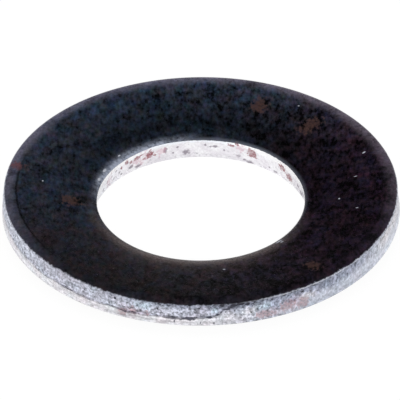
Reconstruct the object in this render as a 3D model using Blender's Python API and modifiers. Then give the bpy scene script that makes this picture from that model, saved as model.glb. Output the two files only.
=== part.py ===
"""A stamped steel washer, cut from black hot-rolled strip and slightly dished.

It lies hollow side up on the narrow seat around its bore. The axis is +Z and the seat is
the plane Z = 0. The hole and the rim were sheared, so the rim has a rolled-over top edge,
a burnished band below it, and a break line with a torn lip under it. The break line lies
low around most of the rim and climbs to the top edge along one stretch.
"""

import math

import bpy

MM = 0.001

# The washer as a whole
OUTSIDE_DIAMETER = 20.0 * MM
BORE_DIAMETER = 10.45 * MM
THICKNESS = 1.4 * MM
DISH_ANGLE = math.radians(8.5)

# The two upper edges, drawn down by the shear
RIM_ROLL_WIDTH = 0.6 * MM
RIM_ROLL_DEPTH = 0.25 * MM
BORE_ROLL_WIDTH = 0.9 * MM
BORE_ROLL_DEPTH = 0.18 * MM

# The rim's upper end stands out a little further than its lower edge
RIM_TAPER = 0.07 * MM

# The bore opens a little towards the underside, where it ends in the flat seat
BORE_TAPER = 0.04 * MM
SEAT_WIDTH = 0.35 * MM

# The break line's open notch in the rim, and the torn lip below it
BREAK_DEPTH = 0.06 * MM
BREAK_MOUTH = 0.07 * MM
LIP_SET_BACK = 0.015 * MM

# How far up the rim the break line runs, as shares of the thickness
BREAK_LOW = 0.32
BREAK_HIGH = 0.72
BREAK_WAVE = 0.035

# The stretch of the rim where the break line is high, seen from above
HIGH_MIDDLE = math.radians(343.0)
HIGH_REACH = math.radians(67.0)
CLIMB_REACH = math.radians(7.0)

# Fineness of the round forms
TURN_STEPS = 120
FACE_STEPS = 3
RIM_ROLL_STEPS = 6
BORE_ROLL_STEPS = 6
WALL_STEPS = 2

# The section is drawn on the flat strip: "along" runs outwards from the bore, and "up"
# away from the underside. Dishing turns it about the lower edge of the bore.
LOWER_BORE_RADIUS = BORE_DIAMETER / 2 + (THICKNESS - BORE_ROLL_DEPTH) * math.sin(DISH_ANGLE)
STRIP_WIDTH = (OUTSIDE_DIAMETER / 2 - LOWER_BORE_RADIUS) / math.cos(DISH_ANGLE)
RIM_WALL_TOP = THICKNESS - RIM_ROLL_DEPTH
BORE_WALL_TOP = THICKNESS - BORE_ROLL_DEPTH
SEAT_END = BORE_TAPER + SEAT_WIDTH
SEAT_CUT = SEAT_WIDTH * math.tan(DISH_ANGLE)
SEAT_HEIGHT = SEAT_END * math.sin(DISH_ANGLE)


def dished(along, up):
    """The radius and height of a point of the strip's section."""
    radius = LOWER_BORE_RADIUS + along * math.cos(DISH_ANGLE) - up * math.sin(DISH_ANGLE)
    height = along * math.sin(DISH_ANGLE) + up * math.cos(DISH_ANGLE) - SEAT_HEIGHT
    return radius, height


def undished(radius, height):
    """The place in the strip's section of a point of the washer."""
    out = radius - LOWER_BORE_RADIUS
    rise = height + SEAT_HEIGHT
    along = out * math.cos(DISH_ANGLE) + rise * math.sin(DISH_ANGLE)
    up = rise * math.cos(DISH_ANGLE) - out * math.sin(DISH_ANGLE)
    return along, up


def straight(start, end, steps):
    """Points from start up to, but not at, end."""
    for i in range(steps):
        share = i / steps
        yield start[0] + (end[0] - start[0]) * share, start[1] + (end[1] - start[1]) * share


def rolled(along, up, width, depth, first, last, steps):
    """Points of a quarter ellipse about (along, up), from its first angle to before its last."""
    for i in range(steps):
        angle = math.radians(first + (last - first) * i / steps)
        yield along + width * math.cos(angle), up + depth * math.sin(angle)


def rim_at(up):
    """How far along the rim's wall stands at this height."""
    return STRIP_WIDTH + RIM_TAPER * up / RIM_WALL_TOP


def strip_section():
    """The outline over the top, down the rim, back along the underside and up the bore."""
    break_up = BREAK_LOW * THICKNESS
    rim_top = (rim_at(RIM_WALL_TOP), RIM_WALL_TOP)
    roll_start = rim_top[0] - RIM_ROLL_WIDTH
    yield from straight((BORE_ROLL_WIDTH, THICKNESS), (roll_start, THICKNESS), FACE_STEPS)
    yield from rolled(
        roll_start, RIM_WALL_TOP, RIM_ROLL_WIDTH, RIM_ROLL_DEPTH, 90, 0, RIM_ROLL_STEPS
    )
    notch_top = (rim_at(break_up + BREAK_MOUTH), break_up + BREAK_MOUTH)
    yield from straight(rim_top, notch_top, WALL_STEPS)
    yield notch_top
    yield rim_at(break_up) - BREAK_DEPTH, break_up
    yield rim_at(break_up - BREAK_MOUTH) - LIP_SET_BACK, break_up - BREAK_MOUTH
    yield STRIP_WIDTH, 0.0
    yield SEAT_END, 0.0
    yield from straight((BORE_TAPER, SEAT_CUT), (0.0, BORE_WALL_TOP), WALL_STEPS)
    yield from rolled(
        BORE_ROLL_WIDTH, BORE_WALL_TOP, BORE_ROLL_WIDTH, BORE_ROLL_DEPTH,
        180, 90, BORE_ROLL_STEPS,
    )


def eased(share):
    """A smooth step from 0 to 1."""
    share = min(max(share, 0.0), 1.0)
    return share * share * (3 - 2 * share)


def break_share(angle):
    """How far up the rim the break line runs at this angle, as a share of the thickness."""
    away = abs((angle - HIGH_MIDDLE + math.pi) % math.tau - math.pi)
    raised = eased((HIGH_REACH + CLIMB_REACH - away) / (2 * CLIMB_REACH))
    wave = math.sin(5 * angle) + 0.6 * math.sin(12 * angle + 1)
    return BREAK_LOW + (BREAK_HIGH - BREAK_LOW) * raised + BREAK_WAVE * wave


def on_rim(along):
    """Whether a point of the section is on the sheared rim."""
    return along > STRIP_WIDTH - 1.5 * BREAK_DEPTH


def let_break_line_run(mesh):
    """Slides the points of the rim up or down, so that the break line follows its course."""
    level = BREAK_LOW * THICKNESS
    for vertex in mesh.vertices:
        x, y, z = vertex.co
        angle = math.atan2(y, x)
        along, up = undished(math.hypot(x, y), z)
        if not on_rim(along) or up > RIM_WALL_TOP:
            continue
        course = break_share(angle) * THICKNESS
        set_back = rim_at(up) - along
        if up < level:
            up *= course / level
        else:
            up = RIM_WALL_TOP - (RIM_WALL_TOP - up) * (RIM_WALL_TOP - course) / (
                RIM_WALL_TOP - level
            )
        radius, height = dished(rim_at(up) - set_back, up)
        vertex.co = (radius * math.cos(angle), radius * math.sin(angle), height)


def material(name, colour, metallic, roughness):
    made = bpy.data.materials.new(name)
    made.use_nodes = True
    made.diffuse_color = (*colour, 1.0)
    shader = made.node_tree.nodes["Principled BSDF"]
    shader.inputs["Base Color"].default_value = (*colour, 1.0)
    shader.inputs["Metallic"].default_value = metallic
    shader.inputs["Roughness"].default_value = roughness
    return made


def turned(name, outline, collection):
    """The outline turned about +Z into a closed ring."""
    points = [(radius, 0.0, height) for radius, height in outline]
    edges = [(i, (i + 1) % len(points)) for i in range(len(points))]
    mesh = bpy.data.meshes.new(name)
    mesh.from_pydata(points, edges, [])
    ring = bpy.data.objects.new(name, mesh)
    collection.objects.link(ring)
    turn = ring.modifiers.new("turn", "SCREW")
    turn.axis = "Z"
    turn.angle = math.tau
    turn.steps = TURN_STEPS
    turn.render_steps = TURN_STEPS
    turn.use_merge_vertices = True
    turn.merge_threshold = 1e-6
    return ring


def make_plain(made):
    """Gives an object the mesh that its modifiers make."""
    graph = bpy.context.evaluated_depsgraph_get()
    mesh = bpy.data.meshes.new_from_object(made.evaluated_get(graph))
    mesh.name = made.name
    made.modifiers.clear()
    made.data = mesh


def finish(washer, black_scale, sheared_steel):
    """Black scale on the strip's two faces, bright steel where it was sheared."""
    mesh = washer.data
    mesh.materials.clear()
    mesh.materials.append(black_scale)
    mesh.materials.append(sheared_steel)
    for face in mesh.polygons:
        x, y, z = face.center
        along, up = undished(math.hypot(x, y), z)
        rim = on_rim(along) and up < RIM_WALL_TOP
        bore = along < BORE_TAPER and up < BORE_WALL_TOP
        face.material_index = 1 if rim or bore else 0
    mesh.shade_smooth()
    mesh.set_sharp_from_angle(angle=math.radians(25))


for old in list(bpy.data.objects):
    bpy.data.objects.remove(old, do_unlink=True)

washer_parts = bpy.data.collections.new("washer")
bpy.context.scene.collection.children.link(washer_parts)

outline = [dished(along, up) for along, up in strip_section()]
washer = turned("washer", outline, washer_parts)
make_plain(washer)
let_break_line_run(washer.data)
finish(
    washer,
    material("black scale", (0.016, 0.018, 0.026), metallic=0.3, roughness=0.45),
    material("sheared steel", (0.55, 0.56, 0.6), metallic=0.8, roughness=0.45),
)
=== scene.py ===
"""Looks of a stamped steel washer: black mill scale on its faces, bare sheared steel on its
rim and in its bore, with small rust spots. Lengths are in millimetres until they are used."""

import math

import bpy
import numpy as np
from mathutils import Matrix, Vector


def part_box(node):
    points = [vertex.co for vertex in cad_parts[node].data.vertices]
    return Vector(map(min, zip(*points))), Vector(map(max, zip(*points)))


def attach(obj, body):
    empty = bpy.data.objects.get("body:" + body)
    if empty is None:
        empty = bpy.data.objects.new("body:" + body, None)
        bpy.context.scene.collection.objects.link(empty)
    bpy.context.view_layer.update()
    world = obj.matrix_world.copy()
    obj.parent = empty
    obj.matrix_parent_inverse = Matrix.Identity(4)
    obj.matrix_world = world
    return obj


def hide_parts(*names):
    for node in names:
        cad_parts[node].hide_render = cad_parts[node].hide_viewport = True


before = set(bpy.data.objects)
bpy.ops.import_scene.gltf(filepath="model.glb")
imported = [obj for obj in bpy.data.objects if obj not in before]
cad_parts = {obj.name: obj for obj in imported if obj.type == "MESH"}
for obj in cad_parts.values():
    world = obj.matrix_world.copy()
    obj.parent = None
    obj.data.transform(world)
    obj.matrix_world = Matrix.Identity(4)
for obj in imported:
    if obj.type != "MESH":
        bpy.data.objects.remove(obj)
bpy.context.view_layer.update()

MM = 0.001
NODE = "washer"

# The washer's section, as it was stamped
OUTSIDE_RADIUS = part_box(NODE)[1].x / MM
BORE_RADIUS = 5.225
THICKNESS = 1.4
DISH = math.radians(8.5)
RIM_ROLL = (0.6, 0.25)
RIM_TAPER = 0.07
BORE_ROLL = (0.9, 0.18)
BORE_TAPER = 0.04
SEAT_WIDTH = 0.35
LOWER_BORE_RADIUS = BORE_RADIUS + (THICKNESS - BORE_ROLL[1]) * math.sin(DISH)
STRIP_WIDTH = (OUTSIDE_RADIUS - LOWER_BORE_RADIUS) / math.cos(DISH)
RIM_TOP_ALONG = STRIP_WIDTH + RIM_TAPER
RIM_WALL_TOP = THICKNESS - RIM_ROLL[1]
BORE_WALL_TOP = THICKNESS - BORE_ROLL[1]
SEAT_END = BORE_TAPER + SEAT_WIDTH
SEAT_HEIGHT = SEAT_END * math.sin(DISH)

# Fineness of the visible skin
TURN_STEPS = 1200
FACE_STEPS = 18
RIM_ROLL_STEPS = 8
RIM_WALL_STEPS = 26
UNDERSIDE_STEPS = 8
BORE_WALL_STEPS = 14
BORE_ROLL_STEPS = 7
SHARP_ANGLE = math.radians(38)

# How far the sheared steel and the face stray from their plain forms
RIM_GRAIN = 0.07
BORE_GRAIN = 0.02
FACE_GRAIN = 0.04
BREAK_DEPTH = 0.09
GRAIN_SEED = 4.0

# The break line's height on the rim at angles seen from above, in degrees from +X
BREAK_COURSE = [
    (0, 1.06), (30, 1.0), (55, 0.5), (90, 0.44), (130, 0.5), (170, 0.42), (200, 0.45),
    (211, 0.46), (217, 0.42), (224, 0.48), (232, 0.44), (237, 0.41), (242, 0.45),
    (246, 0.43), (249.5, 0.35), (253, 0.37), (258, 0.41), (264, 0.42), (268, 0.43),
    (272, 0.47), (274.5, 0.56), (276, 0.76), (278, 0.9), (281, 1.06), (286, 1.1),
    (300, 1.12), (330, 1.1), (360, 1.06),
]


class Value:
    """A socket in a node tree. Arithmetic on it adds Math nodes."""

    def __init__(self, tree, socket=None):
        self.tree = tree
        self.socket = socket

    def node(self, kind, settings=None, inputs=None, output=0):
        """An output of a new node. Its settings are made before its inputs."""
        node = self.tree.nodes.new(kind)
        for name, setting in (settings or {}).items():
            if name == "curve":
                draw_curve(node.mapping, setting)
            else:
                setattr(node, name, setting)
        for name, value in (inputs or {}).items():
            if isinstance(value, Value):
                self.tree.links.new(value.socket, node.inputs[name])
            else:
                node.inputs[name].default_value = value
        return Value(self.tree, node.outputs[output])

    def math(self, operation, *values):
        """A Math node's value for this socket and any others."""
        inputs = dict(enumerate((self, *values)))
        return self.node("ShaderNodeMath", {"operation": operation}, inputs)

    def __add__(self, other):
        return self.math("ADD", other)

    def __sub__(self, other):
        return self.math("SUBTRACT", other)

    def __rsub__(self, other):
        return self.node("ShaderNodeMath", {"operation": "SUBTRACT"}, {0: other, 1: self})

    def __mul__(self, other):
        return self.math("MULTIPLY", other)

    def __truediv__(self, other):
        return self.math("DIVIDE", other)

    __radd__ = __add__
    __rmul__ = __mul__


def draw_curve(mapping, points):
    """Puts a float curve through these points."""
    curve = mapping.curves[0]
    while len(curve.points) < len(points):
        curve.points.new(0.5, 0.5)
    for handle, point in zip(curve.points, points):
        handle.location = point
    mapping.update()


def rises(value, low, high):
    """A smooth step from 0 at low to 1 at high."""
    return value.node(
        "ShaderNodeMapRange", {"interpolation_type": "SMOOTHSTEP"},
        {"Value": value, "From Min": low, "From Max": high},
    )


def falls(value, low, high):
    return 1 - rises(value, low, high)


def hump(value, centre, reach):
    """1 at the centre, falling smoothly to 0 at this reach on either side."""
    return falls((value - centre).math("ABSOLUTE"), 0.0, reach)


def stretched(vector, scale):
    """A vector multiplied by another, part by part."""
    return vector.node("ShaderNodeVectorMath", {"operation": "MULTIPLY"}, {0: vector, 1: scale})


def noise(vector, scale, detail=2.0, roughness=0.5, output=0):
    return vector.node(
        "ShaderNodeTexNoise", None,
        {"Vector": vector, "Scale": scale, "Detail": detail, "Roughness": roughness}, output,
    )


def mix(mask, first, second):
    """The first colour where the mask is 0, the second where it is 1."""
    return mask.node("ShaderNodeMix", {"data_type": "RGBA"}, {0: mask, 6: first, 7: second}, 2)


def shaded(colour, factor):
    """A colour made lighter or darker."""
    return factor.node(
        "ShaderNodeVectorMath", {"operation": "SCALE"}, {0: colour, "Scale": factor}
    )


def varied(noises, amounts):
    """A colour factor about 1 from a noise's colour, with an amount for each part."""
    return noises.node(
        "ShaderNodeVectorMath", {"operation": "MULTIPLY_ADD"},
        {0: noises, 1: amounts, 2: tuple(1 - amount / 2 for amount in amounts)},
    )


def colour(red, green, blue):
    return (red, green, blue, 1.0)


# The skin of the washer

def straight(start, end, steps):
    """Points from start up to, but not at, end."""
    for i in range(steps):
        share = i / steps
        yield start[0] + (end[0] - start[0]) * share, start[1] + (end[1] - start[1]) * share


def rolled(along, up, size, first, last, steps):
    """Points of a quarter ellipse about (along, up), up to, but not at, its last angle."""
    for i in range(steps):
        angle = math.radians(first + (last - first) * i / steps)
        yield along + size[0] * math.cos(angle), up + size[1] * math.sin(angle)


def strip_section():
    """The outline of the flat strip: top, rim, underside and bore, closed on itself."""
    roll_start = RIM_TOP_ALONG - RIM_ROLL[0]
    points = []
    points += straight((BORE_ROLL[0], THICKNESS), (roll_start, THICKNESS), FACE_STEPS)
    points += rolled(roll_start, RIM_WALL_TOP, RIM_ROLL, 90, 0, RIM_ROLL_STEPS)
    points += straight((RIM_TOP_ALONG, RIM_WALL_TOP), (STRIP_WIDTH, 0.0), RIM_WALL_STEPS)
    points += straight((STRIP_WIDTH, 0.0), (SEAT_END, 0.0), UNDERSIDE_STEPS)
    points += [(SEAT_END, 0.0)]
    seat_cut = SEAT_WIDTH * math.tan(DISH)
    points += straight((BORE_TAPER, seat_cut), (0.0, BORE_WALL_TOP), BORE_WALL_STEPS)
    points += rolled(BORE_ROLL[0], BORE_WALL_TOP, BORE_ROLL, 180, 90, BORE_ROLL_STEPS)
    return points + points[:1]


def rim_reach(up):
    """How far along the rim may stand at this height, inside the cylinder of its lower edge."""
    return STRIP_WIDTH + up * math.tan(DISH)


def section_object():
    """The outline as a line of points that the skin is drawn from."""
    mesh = bpy.data.meshes.new("section")
    points = [(along, up, 0.0) for along, up in strip_section()]
    mesh.from_pydata(points, [(i, i + 1) for i in range(len(points) - 1)], [])
    return bpy.data.objects.new("section", mesh)


def skin_tree(material):
    """Turns the section about the axis, lets the break line run and roughens what was sheared."""
    tree = bpy.data.node_groups.new("stamped skin", "GeometryNodeTree")
    sockets = {}
    for name, kind, default in (
        ("Section", "NodeSocketObject", None),
        ("Section Points", "NodeSocketInt", 2),
        ("Turn Steps", "NodeSocketInt", 8),
        ("Rim Grain", "NodeSocketFloat", 0.0),
        ("Bore Grain", "NodeSocketFloat", 0.0),
        ("Face Grain", "NodeSocketFloat", 0.0),
        ("Break Depth", "NodeSocketFloat", 0.0),
        ("Seed", "NodeSocketFloat", 0.0),
    ):
        socket = tree.interface.new_socket(name, in_out="INPUT", socket_type=kind)
        if default is not None:
            socket.default_value = default
        sockets[name] = socket.identifier
    tree.interface.new_socket("Skin", in_out="OUTPUT", socket_type="NodeSocketGeometry")
    start = Value(tree)
    given = tree.nodes.new("NodeGroupInput")
    size = {name: Value(tree, given.outputs[name]) for name in sockets}

    turns = size["Turn Steps"]
    rows = size["Section Points"]
    grid = start.node(
        "GeometryNodeMeshGrid", None,
        {"Size X": 1.0, "Size Y": 1.0, "Vertices X": turns + 1, "Vertices Y": rows},
    )
    flat = start.node("GeometryNodeInputPosition")
    across = flat.node("ShaderNodeSeparateXYZ", None, {0: flat}, 0)
    down = flat.node("ShaderNodeSeparateXYZ", None, {0: flat}, 1)
    column = ((across + 0.5) * turns).math("ROUND")
    row = ((0.5 - down) * (rows - 1)).math("ROUND")
    angle = column / turns * math.tau

    line = start.node("GeometryNodeObjectInfo", None, {"Object": size["Section"]}, "Geometry")
    drawn = start.node(
        "GeometryNodeSampleIndex", {"data_type": "FLOAT_VECTOR", "domain": "POINT"},
        {"Geometry": line, "Value": flat, "Index": row},
    )
    along = drawn.node("ShaderNodeSeparateXYZ", None, {0: drawn}, 0)
    up = drawn.node("ShaderNodeSeparateXYZ", None, {0: drawn}, 1)

    # Where on the skin a point lies
    ring = start.node(
        "ShaderNodeCombineXYZ", None,
        {
            0: angle.math("COSINE") * OUTSIDE_RADIUS,
            1: angle.math("SINE") * OUTSIDE_RADIUS,
            2: up + size["Seed"],
        },
    )
    flat_ring = start.node(
        "ShaderNodeCombineXYZ", None,
        {
            0: angle.math("COSINE") * (along + LOWER_BORE_RADIUS),
            1: angle.math("SINE") * (along + LOWER_BORE_RADIUS),
            2: size["Seed"],
        },
    )
    rim = rises(along, STRIP_WIDTH - 0.01, STRIP_WIDTH)
    rim = rim * falls(up, RIM_WALL_TOP - 0.02, RIM_WALL_TOP + 0.06) * rises(up, -0.01, 0.03)
    bore = falls(along, BORE_TAPER, BORE_TAPER + 0.02)
    bore = bore * rises(up, 0.1, 0.2) * falls(up, BORE_WALL_TOP - 0.1, BORE_WALL_TOP)
    top = rises(up, BORE_WALL_TOP, THICKNESS)

    # The break line, torn along its course, with a notch above and a set-back lip below
    course = start.node(
        "ShaderNodeFloatCurve",
        {"curve": [(degrees / 360, height / THICKNESS) for degrees, height in BREAK_COURSE]},
        {"Value": angle / math.tau},
    ) * THICKNESS
    torn = noise(ring, 1.6, 5.0, 0.65) - 0.5
    above = up - course - torn * 0.2
    gape = rises(noise(stretched(ring, (1.0, 1.0, 0.2)), 0.9, 2.0, 0.6), 0.4, 0.65)
    notch = hump(above, 0.0, 0.05 + gape * 0.05) * falls(up, 0.95, 1.05)
    lip = falls(above, -0.06, 0.0) * rises(up, 0.02, 0.16)
    crystals = noise(ring, 4.5, 3.0, 0.7) - 0.5
    strata = noise(stretched(ring, (0.8, 0.8, 5.0)), 1.2, 3.0, 0.6) - 0.5
    in_by = (notch * (0.5 + gape) + lip * 0.25) * size["Break Depth"]
    in_by = in_by - (crystals + strata) * size["Rim Grain"] * (1 - lip * 0.6)
    out_by = noise(ring, 4.0, 3.0, 0.6) * size["Bore Grain"]
    down_by = noise(flat_ring, 0.7, 3.0, 0.5) * size["Face Grain"] * top
    skin_along = (along - rim * in_by + bore * out_by).math("MINIMUM", rim_reach(up))
    skin_up = up - down_by

    # Dishing turns the strip about the lower edge of the bore
    radius = skin_along * math.cos(DISH) - skin_up * math.sin(DISH) + LOWER_BORE_RADIUS
    height = skin_along * math.sin(DISH) + skin_up * math.cos(DISH) - SEAT_HEIGHT
    place = start.node(
        "ShaderNodeCombineXYZ", None,
        {
            0: angle.math("COSINE") * radius * MM,
            1: angle.math("SINE") * radius * MM,
            2: height * MM,
        },
    )
    skin = grid
    for name, value in (("along", along), ("up", up), ("above_break", above)):
        skin = skin.node(
            "GeometryNodeStoreNamedAttribute", {"data_type": "FLOAT", "domain": "POINT"},
            {"Geometry": skin, "Name": name, "Value": value},
        )
    skin = skin.node("GeometryNodeSetPosition", None, {"Geometry": skin, "Position": place})
    skin = skin.node("GeometryNodeMergeByDistance", None, {"Geometry": skin, "Distance": 1e-7})
    skin = skin.node("GeometryNodeRealizeInstances", None, {"Geometry": skin})
    skin = skin.node("GeometryNodeSetMaterial", None, {"Geometry": skin, "Material": material})
    end = tree.nodes.new("NodeGroupOutput")
    tree.links.new(skin.socket, end.inputs[0])
    return tree, sockets


def washer_skin(material):
    """The visible washer, as one plain mesh."""
    section = section_object()
    bpy.context.scene.collection.objects.link(section)
    shell = bpy.data.objects.new("washer_shell", bpy.data.meshes.new("washer_shell"))
    bpy.context.scene.collection.objects.link(shell)
    tree, sockets = skin_tree(material)
    skin = shell.modifiers.new("skin", "NODES")
    skin.node_group = tree
    for name, value in (
        ("Section", section),
        ("Section Points", len(section.data.vertices)),
        ("Turn Steps", TURN_STEPS),
        ("Rim Grain", RIM_GRAIN),
        ("Bore Grain", BORE_GRAIN),
        ("Face Grain", FACE_GRAIN),
        ("Break Depth", BREAK_DEPTH),
        ("Seed", GRAIN_SEED),
    ):
        skin[sockets[name]] = value
    graph = bpy.context.evaluated_depsgraph_get()
    mesh = bpy.data.meshes.new_from_object(shell.evaluated_get(graph))
    bpy.data.objects.remove(shell, do_unlink=True)
    bpy.data.objects.remove(section, do_unlink=True)
    mesh.name = "washer_skin"
    mesh.shade_smooth()
    mesh.set_sharp_from_angle(angle=SHARP_ANGLE)
    piece = bpy.data.objects.new("washer_skin", mesh)
    bpy.context.scene.collection.objects.link(piece)
    return piece


# The marks that the washer has picked up, each an angle from +X in degrees, a place, half
# a width and half a height. The place is the height on a wall, or the distance from the
# bore on the face.
RIM_TORN = [
    (266.5, 0.38, 0.50, 0.10), (261.6, 0.40, 0.16, 0.05), (272.5, 0.42, 0.26, 0.05),
    (274.6, 0.58, 0.16, 0.05), (277.2, 0.86, 0.20, 0.06), (278.4, 0.94, 0.14, 0.08),
    (279.2, 1.06, 0.20, 0.11), (281.4, 1.10, 0.24, 0.09), (283.4, 1.05, 0.12, 0.08),
    (276.0, 1.12, 0.20, 0.07), (285.5, 1.14, 0.16, 0.05), (262.2, 0.22, 0.03, 0.10),
    (269.7, 0.16, 0.03, 0.07), (273.5, 0.12, 0.06, 0.05), (257.5, 1.12, 0.07, 0.05),
    (320.8, 1.02, 0.04, 0.13), (244.3, 0.95, 0.09, 0.08),
]
RIM_RUST = [
    (250.0, 0.5, 0.17, 0.2), (254.2, 0.46, 0.12, 0.14), (246.8, 0.28, 0.22, 0.2),
    (288.5, 0.3, 0.5, 0.2), (295.5, 0.46, 0.4, 0.26), (300.5, 0.4, 0.3, 0.26),
]
BORE_RUST = [
    (119.0, 0.79, 0.2, 0.23), (127.5, 0.88, 0.2, 0.12), (135.0, 0.95, 0.12, 0.14),
    (72.5, 1.03, 0.16, 0.08), (69.5, 1.26, 0.1, 0.16),
    (60.7, 0.81, 0.26, 0.28), (39.0, 0.83, 0.24, 0.22), (33.5, 0.48, 0.26, 0.26),
    (122.0, 0.62, 0.1, 0.08), (115.5, 0.62, 0.08, 0.06), (131.5, 0.78, 0.1, 0.1),
    (139.0, 0.75, 0.08, 0.1), (124.0, 0.95, 0.12, 0.05), (74.5, 1.1, 0.06, 0.04),
]
RIM_BLUSH = [(250.0, 0.4, 0.7, 0.3), (291.0, 0.3, 0.7, 0.25), (298.0, 0.5, 0.8, 0.35)]
BORE_BLUSH = [
    (149.5, 0.55, 0.35, 0.4), (123.0, 0.75, 0.7, 0.4), (112.0, 0.8, 0.3, 0.3),
    (68.0, 1.0, 0.4, 0.3),
]
# Cool or light patches of the rim: an angle, a height, how far round in degrees and how far up
RIM_COOL = [(252.8, 0.85, 3.2, 0.35), (273.8, 0.8, 1.4, 0.25), (288.0, 0.75, 3.2, 0.35)]
RIM_LIGHT = [(283.8, 0.6, 3.0, 0.4), (302.0, 0.65, 4.0, 0.3)]
BORE_STAINS = [
    (131.0, 0.43, 0.14, 0.12), (98.0, 0.43, 0.18, 0.15), (126.0, 0.25, 0.16, 0.1),
    (69.3, 0.37, 0.11, 0.12), (63.0, 0.14, 0.26, 0.07), (87.5, 0.88, 0.09, 0.08),
    (66.0, 0.22, 0.08, 0.05), (45.5, 0.2, 0.14, 0.06), (50.0, 0.3, 0.06, 0.05),
    (92.0, 0.3, 0.05, 0.05), (105.0, 0.5, 0.06, 0.05), (77.0, 0.6, 0.05, 0.05),
    (84.5, 0.78, 0.06, 0.05), (17.5, 0.4, 0.12, 0.15), (24.0, 0.5, 0.1, 0.12),
    (82.0, 0.83, 0.14, 0.09), (102.5, 0.86, 0.08, 0.07), (21.0, 0.25, 0.14, 0.15),
    (109.5, 0.79, 0.1, 0.16), (140.0, 0.55, 0.09, 0.08), (144.5, 0.35, 0.1, 0.09),
    (149.5, 0.28, 0.08, 0.08), (155.5, 0.3, 0.08, 0.12), (138.0, 0.3, 0.08, 0.07),
    (143.5, 0.8, 0.08, 0.07), (147.5, 0.65, 0.07, 0.08), (152.0, 0.6, 0.07, 0.12),
    (134.0, 0.85, 0.1, 0.08),
]
FACE_RUST = [
    (45.7, 2.85, 0.42, 0.6), (68.0, 2.86, 0.36, 0.45), (184.0, 1.3, 0.38, 0.45),
    (310.0, 3.45, 0.32, 0.4), (167.5, 4.3, 0.26, 0.4),
]
# Bright flecks on the face, each with half a length, half a width and its lean in degrees
FACE_FLECKS = [
    (20.7, 3.65, 0.12, 0.06, 40.0), (8.9, 2.72, 0.11, 0.03, 10.0),
    (355.7, 1.79, 0.07, 0.05, 90.0), (349.0, 2.81, 0.08, 0.035, 0.0),
    (55.5, 3.65, 0.06, 0.035, 0.0), (173.0, 2.84, 0.06, 0.05, 90.0),
    (280.0, 1.36, 0.08, 0.05, 0.0), (315.8, 0.24, 0.26, 0.07, 42.0),
    (316.0, 0.42, 0.12, 0.05, 42.0), (153.0, 0.24, 0.18, 0.08, 63.0),
    (161.5, 0.2, 0.16, 0.08, 72.0), (138.0, 0.34, 0.11, 0.05, 48.0),
]


def paint(mesh, name, where, marks):
    """A point attribute, 1 in the middle of each mark and fading to 0 at twice its reach."""
    count = len(mesh.vertices)
    flat = np.empty(count * 3)
    mesh.vertices.foreach_get("co", flat)
    x, y, _ = flat.reshape(-1, 3).T / MM
    angle = np.degrees(np.arctan2(y, x))
    radius = np.hypot(x, y)
    along = np.empty(count)
    up = np.empty(count)
    mesh.attributes["along"].data.foreach_get("value", along)
    mesh.attributes["up"].data.foreach_get("value", up)
    surface = {
        "rim": (along > STRIP_WIDTH - 0.05) & (up > 0.0),
        "bore": (along < 0.12) & (up > 0.0),
        "face": (along > 0.12) & (up > THICKNESS / 2),
    }[where]
    place = along if where == "face" else up
    total = np.zeros(count)
    for degrees, centre, half_width, half_height in marks:
        arc = np.radians((angle - degrees + 180) % 360 - 180) * radius
        away = np.hypot(arc / half_width, (place - centre) / half_height)
        total = np.maximum(total, np.clip(1 - away / 2, 0, 1))
    attribute = mesh.attributes.get(name) or mesh.attributes.new(name, "FLOAT", "POINT")
    before = np.empty(count)
    attribute.data.foreach_get("value", before)
    attribute.data.foreach_set("value", np.where(surface, np.maximum(before, total), before))


# The finish: the colours of the mill scale, of the sheared rim and of the bore. SCALE_COLD
# and SCALE_WARM are factors on the colour of the scale.

SCALE_FRONT = colour(0.0145, 0.0118, 0.0155)
SCALE_BACK = colour(0.0118, 0.0158, 0.0255)
SCALE_RIGHT = colour(0.0080, 0.0042, 0.0098)
SCALE_EMBER = colour(0.0165, 0.0085, 0.0110)
SCALE_COLD = colour(0.87, 1.03, 1.10)
SCALE_WARM = colour(1.14, 0.97, 0.90)
# SCALE_ROLL and SCALE_ROLL_RIGHT are a painted sheen on the rolled edge, mixed in strongest
# behind
SCALE_ROLL = colour(0.1980, 0.1860, 0.2650)
SCALE_ROLL_RIGHT = colour(0.2150, 0.1820, 0.2350)
SCALE_FRONT_SHEEN = colour(0.1850, 0.1480, 0.1430)
SCALE_RUST = colour(0.0600, 0.0310, 0.0265)
SCALE_ROLL_RUST = colour(0.1300, 0.0520, 0.0620)
SCALE_WORN = colour(0.2900, 0.3200, 0.4000)
SCALE_FLECK = colour(0.4200, 0.4400, 0.5000)
STEEL_TOP = colour(0.2000, 0.2150, 0.2800)
STEEL_BURNISHED = colour(0.5050, 0.5130, 0.6000)
STEEL_TORN = colour(0.8300, 0.8200, 0.8700)
STEEL_COOL = colour(0.4900, 0.5900, 0.6800)
STEEL_RIGHT = colour(0.3800, 0.4100, 0.5200)
STEEL_SIDE = colour(0.6500, 0.6750, 0.7850)
STEEL_SMOOTH = colour(0.7000, 0.7500, 0.8600)
STEEL_CRACK_SHADE = colour(0.0600, 0.0600, 0.0850)
STEEL_EDGE_HIGHLIGHT = colour(0.7500, 0.7800, 0.8600)
STEEL_RUST = colour(0.3600, 0.2300, 0.2450)
BORE_BRIGHT = colour(0.9900, 0.9900, 1.0000)
BORE_STEEL = colour(0.9500, 0.9450, 0.9700)
BORE_DULL = colour(0.8500, 0.8250, 0.8700)
BORE_COOL = colour(0.9300, 0.9500, 1.0000)
BORE_EDGE = colour(0.8600, 0.8950, 0.9500)
BORE_SPECKS = colour(0.4400, 0.4300, 0.4700)
BORE_STAIN = colour(0.2600, 0.2300, 0.2700)
RUST_BLUSH = colour(0.6000, 0.3300, 0.4000)
BORE_RUST_RED = colour(0.2700, 0.0750, 0.0900)


# A fleck's oval fades out this far above and below the face, short of the underside
FLECK_FADE = 0.8


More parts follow.
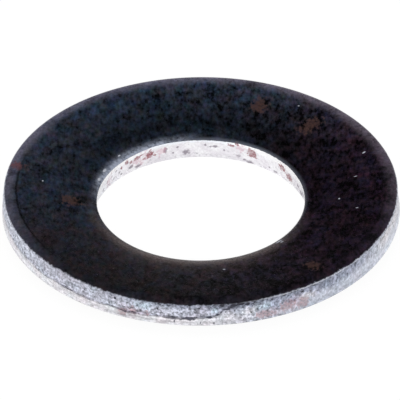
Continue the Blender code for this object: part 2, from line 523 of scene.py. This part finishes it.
class Surface:
    """The washer's surface: where a point of it lies, its marks and its grain."""

    def __init__(self, tree):
        self.start = Value(tree)
        metres = self.start.node("ShaderNodeTexCoord", output="Object")
        place = stretched(metres, (1 / MM, 1 / MM, 1 / MM))
        self.place = place
        self.x = place.node("ShaderNodeSeparateXYZ", None, {0: place}, 0)
        self.y = place.node("ShaderNodeSeparateXYZ", None, {0: place}, 1)
        self.radius = (self.x * self.x + self.y * self.y).math("SQRT")
        self.along = self.painted("along")
        self.up = self.painted("up")
        self.rust = self.painted("rust")
        self.blush = self.painted("blush")

        # Its grain, from broad patches to pinpoints, and the crystals of its sheared steel
        self.patchy = noise(place, 1.3, 4.0, 0.6)
        self.fine = noise(place, 5.5, 2.0, 0.6)
        self.speckle = noise(place, 8.0, 2.0, 0.6)
        self.grain = rises(self.speckle, 0.34, 0.66)
        self.crystals = rises(noise(place, 6.5, 3.0, 0.7), 0.38, 0.62)

    def painted(self, name):
        """A value that the mesh carries at its points."""
        return self.start.node("ShaderNodeAttribute", {"attribute_name": name}, output="Fac")

    def side(self, degrees, reach):
        """1 in this direction from the axis, falling to 0 at this many degrees from it."""
        turn = math.radians(degrees)
        cosine = (self.x * math.cos(turn) + self.y * math.sin(turn)) / self.radius
        return rises(cosine, math.cos(math.radians(reach)), 1.0)

    def fleck(self, degrees, distance, half_length, half_width, lean):
        """1 in a small oval on the face, fading to 0 at its edge."""
        turn = math.radians(degrees)
        out = LOWER_BORE_RADIUS + distance * math.cos(DISH) - THICKNESS * math.sin(DISH)
        height = distance * math.sin(DISH) + THICKNESS * math.cos(DISH) - SEAT_HEIGHT
        local = self.place.node(
            "ShaderNodeMapping", {"vector_type": "TEXTURE"},
            {
                "Vector": self.place,
                "Location": (out * math.cos(turn), out * math.sin(turn), height),
                "Rotation": (0.0, 0.0, math.radians(lean)),
                "Scale": (half_length, half_width, FLECK_FADE),
            },
        )
        away = local.node("ShaderNodeVectorMath", {"operation": "LENGTH"}, {0: local}, "Value")
        return falls(away, 0.5, 1.1)


def mill_scale(skin):
    """Near black, blue behind, maroon to the right, with a painted sheen on the rolled edge,
    strongest behind.
    """
    place = skin.place
    side = skin.side
    along = skin.along
    patchy = skin.patchy
    fine = skin.fine
    grain = skin.grain

    # The grain runs along the strip, which was rolled from front to back
    lengthwise = stretched(place, (1.0, 0.55, 1.0))
    pinhead = noise(lengthwise, 6.3, 1.0, 0.5)
    clotted = noise(lengthwise, 3.7, 2.0, 0.6)
    tints = noise(lengthwise, 3.3, 3.0, 0.6, 1)
    broad_warmth = rises(noise(place, 0.9, 3.0, 0.6), 0.42, 0.60)

    # Its colour, which changes round the washer
    scale = mix(side(125, 130), SCALE_FRONT, SCALE_BACK)
    scale = mix(side(-15, 95), scale, SCALE_RIGHT)
    scale = stretched(scale, mix(broad_warmth, SCALE_COLD, SCALE_WARM))
    scale = stretched(scale, varied(tints, (1.8, 0.8, 1.35)))
    embers = rises(noise(place, 2.4, 3.0, 0.65), 0.46, 0.68) * side(-10, 85)
    embers = embers + hump(along + (fine - 0.5) * 2.0, 3.5, 0.9) * side(208, 10)
    scale = mix(embers * 0.55, scale, SCALE_EMBER)

    # Its tone: speckle and clots, lighter towards the back and near the bore
    out = along.math("MAXIMUM", 1.1) - 2.4
    tone = 1 + out * (skin.y / skin.radius * 0.3 + 0.1) - side(62, 28) * 0.12
    tone = tone + falls(along, 0.4, 1.1) * side(110, 70) * 0.4
    mottling = (pinhead - 0.5) * 2.7 + (clotted - 0.5) * 2.4 + (patchy - 0.5) * 3.2
    uneven = 0.8 + side(10, 120) * 0.55 + side(288, 55) * 0.4 - side(228, 40) * 0.2
    mottling = 1 + mottling * uneven
    scale = shaded(scale, tone * mottling.math("MAXIMUM", 0.1) * (1 + side(190, 60) * 0.22))

    # Painted sheen on the rolled edge of the rim, strongest behind, and painted shade in a crease
    # before it at the left and at the right
    roll_sheen = rises(along, 3.9, 4.75) * (0.035 + side(95, 138) * 0.95)
    roll_grain = 0.7 + (skin.speckle - 0.5) * 1.6 + (patchy - 0.5) * 1.4
    scale = mix(roll_sheen * roll_grain, scale, mix(side(10, 90), SCALE_ROLL, SCALE_ROLL_RIGHT))
    # Painted shade in the crease where the face turns into the roll
    crease_shade = hump(along + (patchy - 0.5) * 0.12, 4.12, 0.11)
    crease_shade = crease_shade * side(188, 36).math("MAXIMUM", side(337, 34) * 0.6)
    scale = shaded(scale, 1 - crease_shade * 0.75)

    # Rust, the edge of the bore, with a painted sheen in front and worn behind, and the flecks
    face_rust = rises(skin.rust + (patchy - 0.5) * 0.7 + (pinhead - 0.5) * 1.6, 0.28, 0.8)
    face_rust = face_rust * rises(skin.rust, 0.02, 0.2) * (0.5 + grain * 0.45)
    scale = mix(face_rust, scale, mix(rises(along, 3.8, 4.3), SCALE_RUST, SCALE_ROLL_RUST))
    # Painted sheen on the front of the bore's edge and on the face near it
    front_edge_sheen = side(261, 90) * falls(along, 0.2, 1.0) * 0.46
    front_edge_sheen = front_edge_sheen + side(268, 56) * falls(along, 0.3, 2.2) * 0.17
    front_edge_sheen = front_edge_sheen * (0.4 + rises(along, 0.05, 0.35) * 0.6)
    scale = mix(front_edge_sheen * (0.6 + grain * 0.8), scale, SCALE_FRONT_SHEEN)
    worn = side(136, 60) * falls(along, -0.12, 0.68)
    worn = worn * worn * (1.12 + (patchy - 0.5) * 3.0 + (fine - 0.5) * 3.6)
    edge_wear = falls(along, 0.05, 0.25) * (side(95, 75) * 0.2 + side(20, 60) * 0.15)
    scale = mix(worn.math("MAXIMUM", edge_wear), scale, SCALE_WORN)
    for spot in FACE_FLECKS:
        scale = mix(skin.fleck(*spot), scale, SCALE_FLECK)
    return scale


def sheared_rim(skin):
    """Crystals burnished above the break line, and a smoother torn lip below it."""
    place = skin.place
    side = skin.side
    up = skin.up
    patchy = skin.patchy
    fine = skin.fine
    grain = skin.grain
    crystals = skin.crystals
    above = skin.painted("above_break")
    facets = place.node(
        "ShaderNodeTexVoronoi", None, {"Vector": stretched(place, (1.0, 1.0, 1.3)), "Scale": 7.0},
        "Color",
    )
    facets = facets.node("ShaderNodeSeparateXYZ", None, {0: facets}, 0)
    pits = rises(noise(stretched(place, (1.0, 1.0, 1.6)), 3.0, 3.0, 0.7), 0.56, 0.66)
    strata = rises(noise(stretched(place, (0.9, 0.9, 6.0)), 1.3, 3.0, 0.6), 0.5, 0.62)
    streaks = rises(noise(stretched(place, (1.0, 1.0, 0.3)), 4.0, 3.0, 0.65), 0.42, 0.62)
    strokes = rises(noise(stretched(place, (0.8, 0.8, 5.0)), 2.6, 3.0, 0.6), 0.48, 0.6)
    broad = noise(place, 1.6, 2.0, 0.5, 1)

    # Its colour: light on the lip, partly by painted light from the table below, darker to the
    # right and along the top edge
    right_part = side(304, 36)
    flanks = 1 - side(268, 78)
    lip = falls(above, -0.06, 0.0) * (1 - right_part)
    low_right = side(325, 50) * falls(up + (patchy - 0.5), 0.3, 0.9)
    rim = mix(flanks, STEEL_BURNISHED, STEEL_SIDE)
    # The lip's light colour is partly its smoother torn steel and partly painted light reflected
    # from the white table below
    rim = mix(lip, rim, STEEL_TORN)
    rim = mix(low_right * 0.65, rim, STEEL_SMOOTH)
    # Painted light on the lower lip at the left and right
    rim = shaded(rim, 1 + flanks * lip * falls(up, 0.1, 0.4) * 0.22)
    rim = mix(right_part * rises(up + (patchy - 0.5), 0.3, 0.85), rim, STEEL_RIGHT)
    dark_top = rises(up + (fine - 0.5) * 0.6 + side(280, 12) * 0.15, 0.78, 1.18)
    rim = mix(dark_top * side(273, 44) * 0.85, rim, STEEL_TOP)
    for patches, tint in ((RIM_COOL, STEEL_COOL), (RIM_LIGHT, STEEL_TORN)):
        for degrees, height, reach, tall in patches:
            patch = side(degrees, reach) * hump(up + (fine - 0.5) * 0.6, height, tall)
            rim = mix(patch * 0.75, rim, tint)
    rim = stretched(rim, varied(broad, (0.19, 0.05, -0.05)))
    rusty = rises(skin.rust + (fine - 0.5) * 1.2 + (skin.speckle - 0.5) * 0.8, 0.32, 0.62)
    rim = mix(rises(skin.blush + (fine - 0.5) * 1.2, 0.25, 0.9) * 0.22, rim, RUST_BLUSH)
    rim = mix(rusty * (0.35 + crystals * 0.4), rim, STEEL_RUST)

    # Its tone: the mottle of the crystals, then the layers and strokes of the shear, bands
    # lighter or darker at some heights, painted shade along the lower edge and painted light on
    # the lip
    mottle = crystals * 0.55 + facets * 0.35 + grain * 0.2 - pits * 0.25 - 0.5
    mottle = mottle * (1 + side(272, 50) * 0.5 + side(212, 32) * 0.25)
    mottle = mottle - pits * dark_top * side(285, 30) * 0.3
    calmer = (lip * falls(up, 0.3, 0.7) * 0.65).math("MAXIMUM", low_right * 0.5)
    # Where the rim gets painted shade along its lower edge
    low_edge_shade = side(262, 32).math("MAXIMUM", side(315, 30) * 0.45)
    for factor in (
        0.95 + mottle * (1 - calmer),
        1 - strata * hump(above, 0.15, 0.45) * 0.35,
        1 - strokes * lip * 0.22,
        1 - streaks * right_part * rises(up, 0.3, 0.8) * 0.4,
        # Painted shade along the lower edge
        1 - hump(up + (fine - 0.5) * 0.16, 0.16, 0.13) * low_edge_shade * 0.22,
        # Painted light on the lip in front
        1 + hump(up, 0.3, 0.15) * side(270, 24) * 0.14,
        1 - rises(up, 0.75, 1.05) * side(236, 34) * 0.09,
        1 + hump(up, 0.5, 0.2) * side(220, 48) * 0.07,
        1 - hump(up, 0.5, 0.3) * side(280, 8) * 0.13,
        1 + hump(above, 0.0, 0.25) * side(247, 14) * 0.12,
        1 - falls(up, 0.1, 0.5) * side(306, 31) * 0.15,
    ):
        rim = shaded(rim, factor)

    # Painted shade in the crack along the break line, thin and broken at the left, and the tears
    # in the same dark colour
    crooked = above + (noise(place, 3.2, 2.0, 0.6) - 0.5) * 0.14
    gape = rises(noise(stretched(place, (1.0, 1.0, 0.2)), 0.9, 3.0, 0.6), 0.4, 0.62)
    thin = rises(side(230, 34), 0.0, 0.5)
    crack_shade = hump(crooked, -0.05, 0.06 + gape * (0.08 - thin * 0.063) - thin * 0.01)
    crack_shade = crack_shade * (0.6 + gape * 0.4) * (1 - thin * (0.06 + falls(fine, 0.42, 0.56) * 0.4))
    crack_shade = crack_shade * falls(up, 0.9, 1.0) * (1 - side(190, 26) * 0.85)
    crack_shade = crack_shade * (1 - side(276, 4) * 0.6)
    tear = skin.painted("torn") + (fine - 0.5) * 0.9 + (skin.speckle - 0.5) * 0.5
    tear = rises(tear, 0.35, 0.7)
    rim = mix(crack_shade.math("MAXIMUM", tear) * 0.95, rim, STEEL_CRACK_SHADE)
    rim = shaded(rim, 1 - tear * rises(up, 0.85, 1.0) * 0.45)

    # The painted highlight along its top edge, at the right
    edge = hump(up + (fine - 0.5) * 0.1, 1.18, 0.05) * side(322, 60)
    return mix(edge * (0.3 + grain * 0.7), rim, STEEL_EDGE_HIGHLIGHT)


def sheared_bore(skin):
    """Smoother and lighter than the rim, with rust, stains and a gleam under its top edge."""
    place = skin.place
    side = skin.side
    up = skin.up
    fine = skin.fine
    grain = skin.grain
    blotch = rises(skin.patchy, 0.40, 0.60)
    bore = shaded(mix(blotch, BORE_STEEL, BORE_DULL), 0.92 + grain * 0.12 - side(95, 45) * 0.1)
    ends = side(150, 34).math("MAXIMUM", side(32, 32))
    gleam = mix(side(98, 36), BORE_BRIGHT, BORE_EDGE)
    gleam_foot = up + (fine - 0.5) * 0.4 + ends * 0.14 - side(97, 24) * 0.1
    bore = mix(side(156, 22) * 0.6, bore, BORE_COOL)
    bore = mix(rises(gleam_foot, 0.95, 1.12).math("MAXIMUM", side(172, 16)), bore, gleam)
    bore = shaded(bore, 1 - falls(up, 0.2, 0.45) * side(92, 40) * 0.07)
    stained = rises(skin.painted("stain") + (fine - 0.5) * 1.1, 0.3, 0.7)
    bore = mix(stained * (0.9 - side(152, 18) * 0.35), bore, BORE_STAIN)
    specks = rises(noise(place, 5.0, 3.0, 0.65) + hump(up, 0.22, 0.3) * 0.05, 0.6, 0.68)
    bore = mix(specks * 0.5 * falls(up, 0.95, 1.05), bore, BORE_SPECKS)
    bore = mix(rises(skin.blush + (fine - 0.5) * 2.6, 0.5, 0.9) * 0.45, bore, RUST_BLUSH)
    rusty = rises(skin.rust + (skin.speckle - 0.5) * 0.9 + (fine - 0.5) * 0.7, 0.35, 0.58)
    return mix(rusty * (0.55 + skin.crystals * 0.4), bore, BORE_RUST_RED)


def laid_bare(skin):
    """Masks of the rim's and of the bore's bare steel, under the ragged foot of the scale."""
    side = skin.side
    along = skin.along
    up = skin.up
    ragged = (skin.patchy - 0.5) * 0.12 + (skin.fine - 0.5) * 0.14
    ragged = ragged + (skin.speckle - 0.5) * 0.08
    scale_foot = up + ragged - 0.06 * (1 - side(266, 33)) - side(298, 18) * 0.012
    scale_foot = scale_foot + side(196, 16) * 0.02 + side(343, 16) * 0.02
    on_rim = rises(along, STRIP_WIDTH - 0.06, STRIP_WIDTH - 0.03) * rises(up, 0.0, 0.01)
    on_rim = on_rim * falls(scale_foot, RIM_WALL_TOP - 0.05, RIM_WALL_TOP + 0.04)
    on_bore = falls(along, 0.1, 0.14) * rises(up, 0.04, 0.06)
    cap_foot = up + ragged * 0.3 + side(150, 38) * 0.08 + side(92, 28) * 0.022
    cap_foot = cap_foot + side(290, 110) * 0.06
    on_bore = on_bore * falls(cap_foot, BORE_WALL_TOP + 0.02, BORE_WALL_TOP + 0.05)
    return on_rim, on_bore


def stamped_steel():
    """Black mill scale, and bare steel where the strip was sheared."""
    material = bpy.data.materials.new("stamped_steel")
    material.use_nodes = True
    tree = material.node_tree
    shader = tree.nodes["Principled BSDF"]
    skin = Surface(tree)
    on_rim, on_bore = laid_bare(skin)
    finish = mix(on_rim, mill_scale(skin), sheared_rim(skin))
    finish = mix(on_bore, finish, sheared_bore(skin))
    bare = on_rim.math("MAXIMUM", on_bore)
    tree.links.new(finish.socket, shader.inputs["Base Color"])
    tree.links.new((bare * 0.3 - on_bore * 0.25).socket, shader.inputs["Metallic"])
    roughness = 0.22 + skin.fine * 0.12 + bare * 0.12
    tree.links.new(roughness.socket, shader.inputs["Roughness"])
    shader.inputs["Specular IOR Level"].default_value = 0.18
    relief = skin.patchy * 0.4 + skin.fine * 0.6
    bump = relief.node(
        "ShaderNodeBump", None, {"Strength": 0.35, "Distance": 0.02 * MM, "Height": relief}
    )
    tree.links.new(bump.socket, shader.inputs["Normal"])
    return material


# The picture: a white table, a wide soft lamp and the photo's point of view

PHOTO_PIXELS = 400
CAMERA_DISTANCE = 600.0
FOCAL_PIXELS = 11921.1
ELEVATION = math.radians(35.455)
ROLL = math.radians(-0.359)
SEAT_CENTRE_PIXEL = (200.961, 219.926)

# The room's light, and what the gloss mirrors: a white backdrop that fades, between these
# heights, into a dark ceiling
SKY_LIGHT = 0.7
CEILING_GLOW = 0.02
BACKDROP_EDGE = (-0.1, 0.26)

# The table bounces light as white paper does. Where it is seen it is dim paper with a glow,
# which makes it white and leaves a faint shadow. Its size is in metres.
TABLE_SIZE = 1.6
TABLE_PAPER = 0.9
TABLE_SEEN = 0.07
TABLE_GLOW = 0.95
TABLE_GLOW_IN_GLOSS = 0.6

# The lamp in front of the washer, in metres and watts
SOFTBOX_PLACE = (-0.05, -0.7, 0.38)
SOFTBOX_SIZE = (2.6, 0.5)
SOFTBOX_POWER = 7.0


def add_camera():
    """A long lens, turned so that the middle of the seat falls on its pixel of the photo."""
    back = Vector((0.0, -math.cos(ELEVATION), math.sin(ELEVATION)))
    across = Vector((1.0, 0.0, 0.0))
    upward = back.cross(across)
    right = math.cos(ROLL) * across + math.sin(ROLL) * upward
    top = math.cos(ROLL) * upward - math.sin(ROLL) * across
    per_pixel = CAMERA_DISTANCE / FOCAL_PIXELS
    middle = PHOTO_PIXELS / 2
    origin = Vector((0.0, 0.0, -SEAT_HEIGHT))
    aim = origin + right * (middle - SEAT_CENTRE_PIXEL[0]) * per_pixel
    aim += top * (SEAT_CENTRE_PIXEL[1] - middle) * per_pixel
    eye = origin + back * CAMERA_DISTANCE
    facing = (eye - aim).normalized()
    right = (right - facing * right.dot(facing)).normalized()
    top = facing.cross(right)
    lens = bpy.data.cameras.new("camera")
    lens.sensor_width = 36.0
    lens.lens = FOCAL_PIXELS / PHOTO_PIXELS * lens.sensor_width
    lens.clip_start = 0.01
    lens.clip_end = 10.0
    camera = bpy.data.objects.new("camera", lens)
    camera.matrix_world = Matrix((
        (right.x, top.x, facing.x, eye.x * MM),
        (right.y, top.y, facing.y, eye.y * MM),
        (right.z, top.z, facing.z, eye.z * MM),
        (0.0, 0.0, 0.0, 1.0),
    ))
    bpy.context.scene.collection.objects.link(camera)
    bpy.context.scene.camera = camera


def seen(start):
    """1 for rays from the camera or through glass, and 1 for rays that gloss sends on."""
    rays = start.tree.nodes.new("ShaderNodeLightPath")
    camera, glossy, through = (
        Value(start.tree, rays.outputs[name])
        for name in ("Is Camera Ray", "Is Glossy Ray", "Is Transmission Ray")
    )
    return camera.math("MAXIMUM", through), glossy


def add_room():
    """A white backdrop under a dark ceiling, and a white table that takes the shadow."""
    world = bpy.data.worlds.new("studio")
    world.use_nodes = True
    tree = world.node_tree
    background = tree.nodes["Background"]
    background.inputs["Color"].default_value = colour(1.0, 1.0, 1.0)
    start = Value(tree)
    direct, glossy = seen(start)
    towards = start.node("ShaderNodeTexCoord", output="Generated")
    height = towards.node("ShaderNodeSeparateXYZ", None, {0: towards}, 2)
    backdrop = CEILING_GLOW + (1 - CEILING_GLOW) * falls(height, *BACKDROP_EDGE)
    strength = SKY_LIGHT + (1 - SKY_LIGHT) * direct + (backdrop - SKY_LIGHT) * glossy
    tree.links.new(strength.socket, background.inputs["Strength"])
    bpy.context.scene.world = world

    mesh = bpy.data.meshes.new("table")
    half = TABLE_SIZE / 2
    corners = [(-half, -half, 0.0), (half, -half, 0.0), (half, half, 0.0), (-half, half, 0.0)]
    mesh.from_pydata(corners, [], [(0, 1, 2, 3)])
    table = bpy.data.objects.new("table", mesh)
    bpy.context.scene.collection.objects.link(table)
    white = bpy.data.materials.new("table_white")
    white.use_nodes = True
    shader = white.node_tree.nodes["Principled BSDF"]
    shader.inputs["Roughness"].default_value = 0.9
    shader.inputs["Specular IOR Level"].default_value = 0.0
    shader.inputs["Emission Strength"].default_value = 1.0
    direct, glossy = seen(Value(white.node_tree))
    shown = direct.math("MAXIMUM", glossy)
    paper = colour(TABLE_PAPER, TABLE_PAPER, TABLE_PAPER)
    paper = mix(shown, paper, colour(TABLE_SEEN, TABLE_SEEN, TABLE_SEEN))
    white.node_tree.links.new(paper.socket, shader.inputs["Base Color"])
    glow = direct * TABLE_GLOW + glossy * TABLE_GLOW_IN_GLOSS
    white.node_tree.links.new(glow.socket, shader.inputs["Emission Color"])
    mesh.materials.append(white)


def add_softbox():
    """A wide soft lamp that shines on the washer without a glare of its own."""
    light = bpy.data.lights.new("front_softbox", "AREA")
    light.shape = "RECTANGLE"
    light.size, light.size_y = SOFTBOX_SIZE
    light.energy = SOFTBOX_POWER
    lamp = bpy.data.objects.new("front_softbox", light)
    lamp.location = SOFTBOX_PLACE
    lamp.visible_glossy = False
    lamp.rotation_euler = Vector(SOFTBOX_PLACE).to_track_quat("Z", "Y").to_euler()
    bpy.context.scene.collection.objects.link(lamp)


add_camera()
add_room()
add_softbox()
bpy.context.scene.view_settings.view_transform = "Standard"

steel = stamped_steel()
washer = washer_skin(steel)
paint(washer.data, "rust", "rim", RIM_RUST)
paint(washer.data, "rust", "bore", BORE_RUST)
paint(washer.data, "rust", "face", FACE_RUST)
paint(washer.data, "stain", "bore", BORE_STAINS)
paint(washer.data, "torn", "rim", RIM_TORN)
paint(washer.data, "blush", "rim", RIM_BLUSH)
paint(washer.data, "blush", "bore", BORE_BLUSH)
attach(washer, "root")
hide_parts(NODE)
